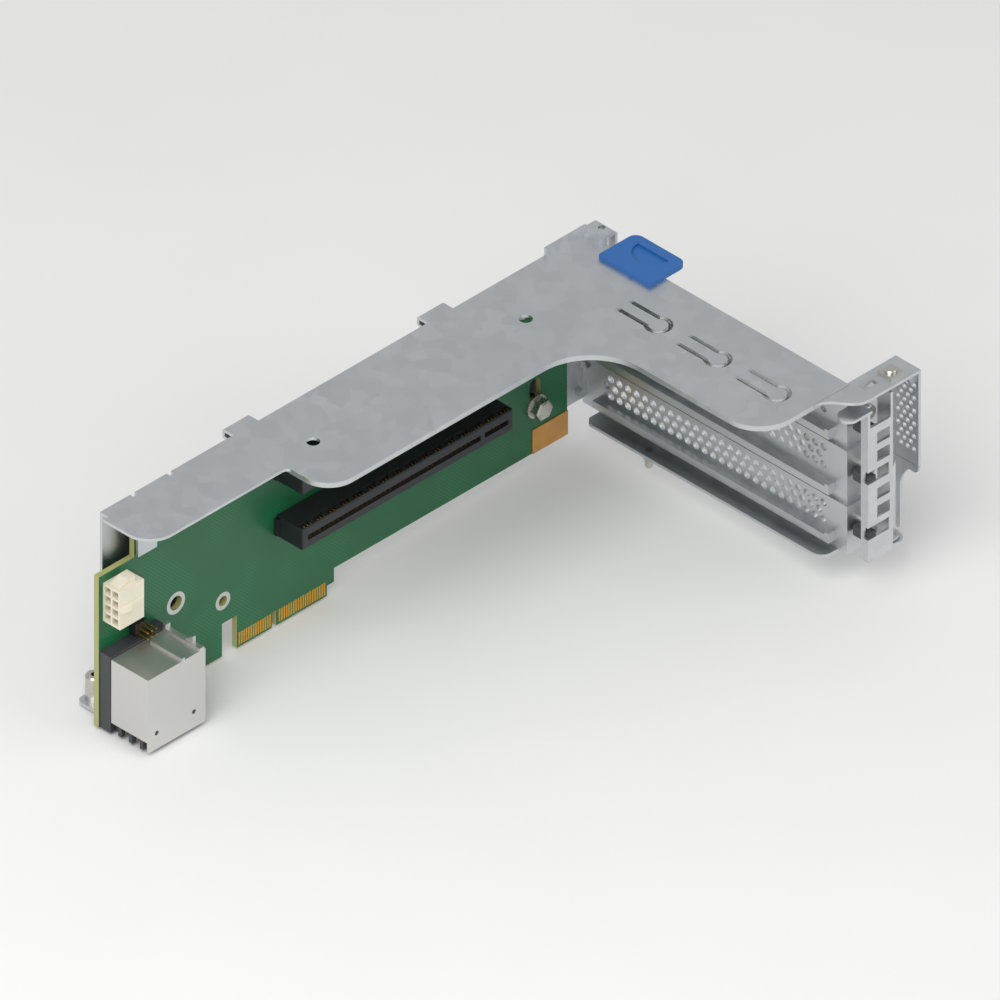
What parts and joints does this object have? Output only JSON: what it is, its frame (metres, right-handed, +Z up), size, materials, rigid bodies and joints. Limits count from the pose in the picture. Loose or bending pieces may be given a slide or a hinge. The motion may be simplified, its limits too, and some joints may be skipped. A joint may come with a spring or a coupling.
{
  "type": "pcie riser card",
  "caption": "Server riser: a circuit board with stacked card slots in an L-shaped folded steel cage, with rear slot covers and a hinged card retainer.",
  "frame": {"origin": "middle of the board's card edge, on its bottom face", "axes": "+X along the board to the rear panel, +Y from the board to the cage's back wall, +Z up to the top plate"},
  "size_m": [0.2325, 0.1307, 0.0768],
  "materials": {
    "galvanised_steel": "hot-dip galvanised sheet, satin with faint spangle",
    "plated_steel": "bright nickel-plated screws and pins",
    "board_green": "glass-epoxy board with green solder mask",
    "contact_gold": "hard gold plating on copper",
    "slot_black": "moulded black glass-filled nylon",
    "header_natural": "moulded natural nylon",
    "connector_grey": "moulded dark grey liquid-crystal polymer",
    "touch_blue": "moulded blue touch point",
    "pad_black": "moulded black elastomer",
    "film_amber": "amber polyimide film"
  },
  "bodies": {
    "cage": {"cage_frame": "galvanised_steel", "end_bracket": "galvanised_steel", "bracket_rivets": "plated_steel", "corner_clip": "galvanised_steel", "handle_tab": "touch_blue", "riser_board": "board_green", "edge_contacts": "contact_gold", "lower_slot_housing": "slot_black", "lower_slot_contacts": "contact_gold", "upper_slot_housing": "slot_black", "upper_slot_contacts": "contact_gold", "power_header_housing": "header_natural", "power_header_pins": "contact_gold", "board_connector_housing": "connector_grey", "board_connector_shell": "plated_steel", "board_connector_pins": "contact_gold", "board_standoffs": "plated_steel", "board_screws": "plated_steel", "shoulder_screw": "plated_steel", "cover_screws": "plated_steel", "retainer_pivot_top": "plated_steel", "retainer_pivot_foot": "plated_steel", "guide_post": "plated_steel", "locating_pin": "plated_steel", "corner_film": "film_amber", "slot_cover_top": "galvanised_steel", "slot_cover_middle": "galvanised_steel", "slot_cover_bottom": "galvanised_steel"},
    "retainer": {"card_retainer": "galvanised_steel", "retainer_pads": "pad_black"}
  },
  "joints": [
    {"name": "retainer_hinge", "type": "hinge", "parent": "cage", "child": "retainer", "pos_m": [0.1474, -0.1115, 0.0428], "axis": [0, 0, 1], "range_deg": [0, 100]}
  ]
}
